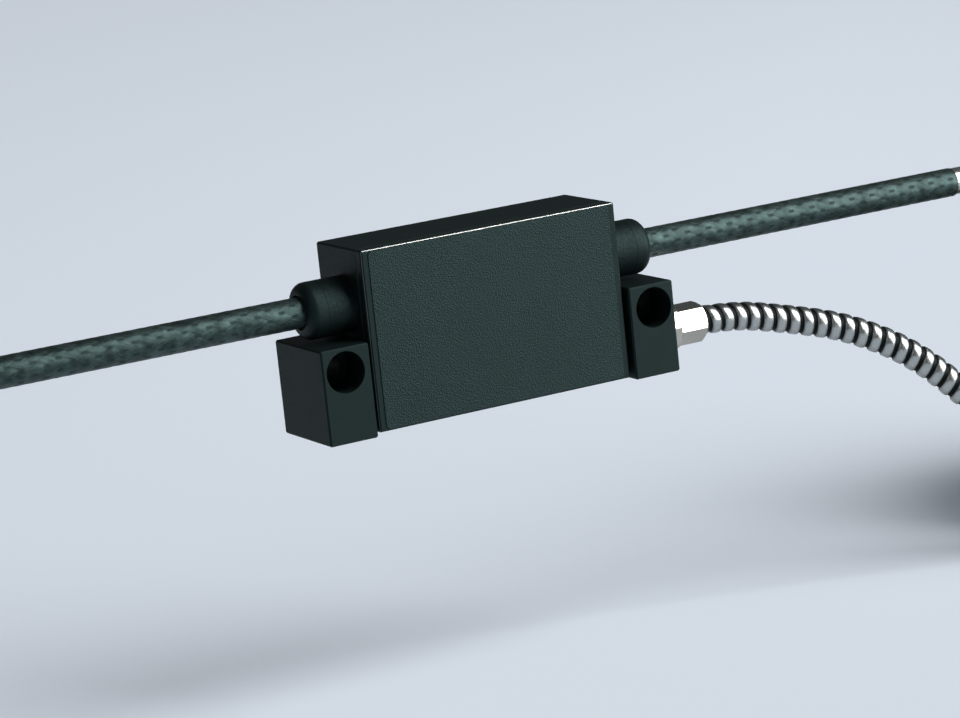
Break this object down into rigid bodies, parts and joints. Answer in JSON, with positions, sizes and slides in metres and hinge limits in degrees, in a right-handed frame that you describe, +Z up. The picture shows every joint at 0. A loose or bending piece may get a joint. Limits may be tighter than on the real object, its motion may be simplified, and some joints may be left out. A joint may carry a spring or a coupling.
{
  "type": "inductive linear scale",
  "caption": "Slim ball-filled measuring rod sliding through a flat reader head with mounting lugs, rounded rod wipers and an armoured cable with a pin connector.",
  "frame": {"origin": "midway between the two mounting holes, on the flat back face of the reader head", "axes": "+X along the measuring rod towards the cable end of the head, +Y out of the back face into the machine, +Z up"},
  "size_m": [0.3305, 0.0822, 0.0835],
  "materials": {
    "head_coating": "matte black coating with a very fine texture on a cast body",
    "label_sheet": "dark grey-green sheet with a fine pebble texture",
    "seal_rubber": "black rubber",
    "nose_polymer": "matte black moulded polymer",
    "bush_polymer": "self-lubricating bearing polymer",
    "former_polymer": "natural moulded polymer",
    "winding_copper": "enamelled copper wire",
    "board_laminate": "green coated glass laminate",
    "chip_package": "black moulded package",
    "capacitor_body": "tan ceramic",
    "header_polymer": "pale moulded polymer",
    "cable_jacket": "dark grey jacket",
    "bright_nickel": "bright nickel plate, turned",
    "conduit_strip": "bright interlocked metal strip with dark grooves",
    "tie_strap": "black hook-and-loop strap",
    "hood_polymer": "dark grey moulded polymer",
    "plated_shell": "dull tin plate on pressed steel",
    "insulator_polymer": "black moulded insulator",
    "gold_contact": "gold plated contacts",
    "carbon_braid": "braided carbon fibre in clear resin, satin",
    "ball_steel": "polished bearing steel",
    "plug_steel": "turned stainless steel"
  },
  "bodies": {
    "reader_head": {"head_body": "head_coating", "cover_seal": "seal_rubber", "front_cover": "head_coating", "front_label": "label_sheet", "circuit_board": "board_laminate", "processor_chip": "chip_package", "amplifier_chips": "chip_package", "filter_capacitors": "capacitor_body", "wire_header": "header_polymer", "coil_former": "former_polymer", "pickup_coils": "winding_copper", "drive_coil": "winding_copper", "coil_flex": "board_laminate", "nose_sleeve_left": "nose_polymer", "nose_sleeve_right": "nose_polymer", "guide_bush_left": "bush_polymer", "guide_bush_right": "bush_polymer", "wiper_ring_left": "seal_rubber", "wiper_ring_right": "seal_rubber", "wiper_cap_left": "nose_polymer", "wiper_cap_right": "nose_polymer", "conduit_ferrule": "bright_nickel", "signal_cable": "cable_jacket", "conduit_lead": "conduit_strip", "conduit_coil": "conduit_strip", "conduit_tail": "conduit_strip", "coil_tie": "tie_strap", "crimp_sleeve": "bright_nickel", "hood_lower": "hood_polymer", "hood_upper": "hood_polymer", "connector_flange": "plated_shell", "connector_insulator": "insulator_polymer", "contact_pins": "gold_contact"},
    "scale_rod": {"scale_tube": "carbon_braid", "precision_balls": "ball_steel", "end_plug_left": "plug_steel", "end_plug_right": "plug_steel", "preload_screw": "plug_steel"},
    "inner_thumbscrew": {"thumbscrew_inner": "bright_nickel"},
    "outer_thumbscrew": {"thumbscrew_outer": "bright_nickel"}
  },
  "joints": [
    {"name": "rod_slide", "type": "slide", "parent": "reader_head", "child": "scale_rod", "axis": [1, 0, 0], "range_m": [-0.05, 0.05]},
    {"name": "inner_thumbscrew_turn", "type": "hinge", "parent": "reader_head", "child": "inner_thumbscrew", "pos_m": [0.1845, 0, -0.0195], "axis": [0, 1, 0], "continuous": true},
    {"name": "outer_thumbscrew_turn", "type": "hinge", "parent": "reader_head", "child": "outer_thumbscrew", "pos_m": [0.2095, 0, -0.0195], "axis": [0, 1, 0], "continuous": true}
  ]
}
